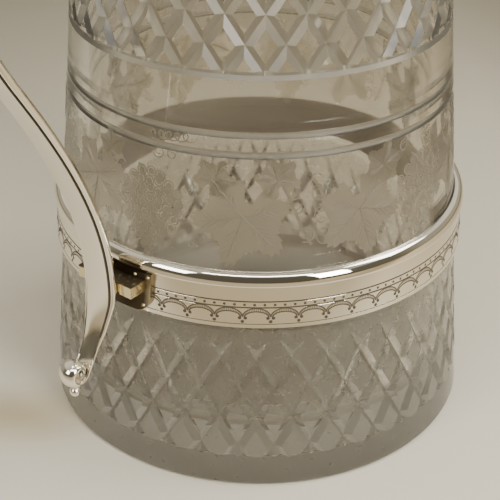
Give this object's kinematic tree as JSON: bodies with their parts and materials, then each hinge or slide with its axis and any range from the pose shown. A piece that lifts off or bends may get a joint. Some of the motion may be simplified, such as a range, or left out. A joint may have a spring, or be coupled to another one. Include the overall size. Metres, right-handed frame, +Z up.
{
  "type": "claret jug",
  "caption": "Tapered cut-glass claret jug with an etched vine, engraved silver girdle, silver neck mount with spout, scrolled strap handle and hinged domed lid.",
  "frame": {"origin": "centre of the foot, on the table", "axes": "+Z up the jug's axis, -X towards the handle, +X towards the spout"},
  "size_m": [0.1551, 0.1098, 0.2833],
  "materials": {
    "cut_glass": "polished",
    "silver": "polished",
    "plaster": "matt",
    "steel": "satin"
  },
  "bodies": {
    "jug": {"glass_body": "cut_glass", "girdle_bedding": "plaster", "girdle_band": "silver", "girdle_bead": "silver", "girdle_plate": "silver", "plate_rivets": "silver", "handle_lug": "silver", "handle_strap": "silver", "scroll_eye": "silver", "scroll_bead": "silver", "collar_bedding": "plaster", "neck_collar": "silver", "collar_wire": "silver", "mouth_wire": "silver", "spout": "silver", "handle_cup": "silver", "collar_knuckles": "silver", "hinge_pin": "steel"},
    "lid": {"lid_cover": "silver", "lid_bezel": "silver", "lid_dome": "silver", "lid_knuckle": "silver", "thumbpiece": "silver", "finial_seat": "silver", "finial": "silver", "finial_nut": "steel"}
  },
  "joints": [
    {"name": "lid_hinge", "type": "hinge", "parent": "jug", "child": "lid", "pos_m": [-0.04042, 0, 0.2412], "axis": [0, -1, 0], "range_deg": [0, 100]}
  ]
}
